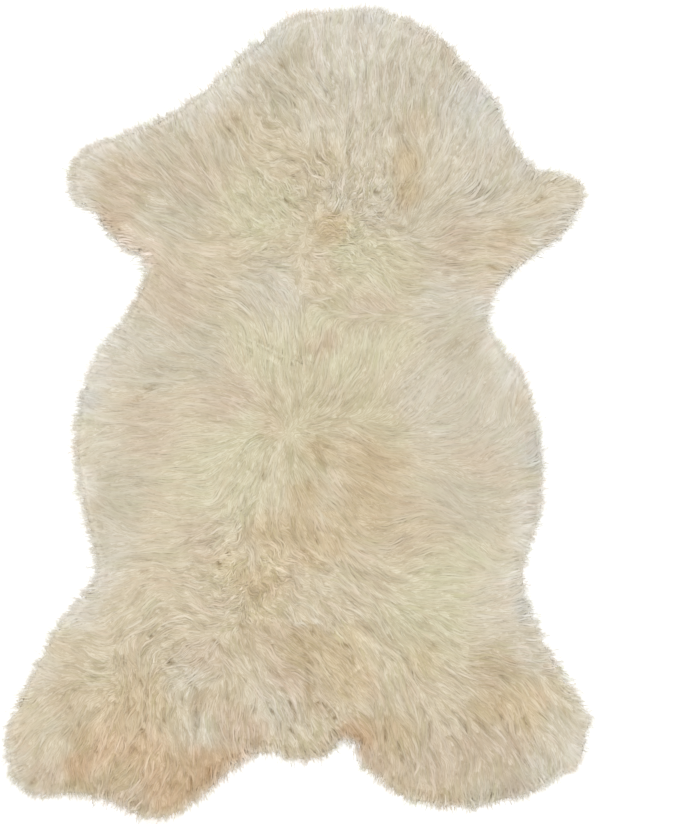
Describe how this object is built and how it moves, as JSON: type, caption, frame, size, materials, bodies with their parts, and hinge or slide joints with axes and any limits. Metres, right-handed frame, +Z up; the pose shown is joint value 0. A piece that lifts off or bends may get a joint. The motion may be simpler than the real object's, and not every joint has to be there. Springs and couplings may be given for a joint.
{
  "type": "sheepskin rug",
  "caption": "One-piece natural sheepskin laid flat with its wool up, as a floor rug or seat throw; leg lobes, neck and a whorl on the back.",
  "frame": {"origin": "middle of the pelt's box on its flat underside, which lies on the floor", "axes": "+Z up through the wool, +Y from tail to neck, +X to the right seen from above with the neck away"},
  "size_m": [0.7204, 1, 0.048],
  "materials": {
    "wool": "matt, soft combed wool",
    "hide": "matt suede"
  },
  "bodies": {
    "root": {"sheepskin": "wool"}
  },
  "joints": []
}
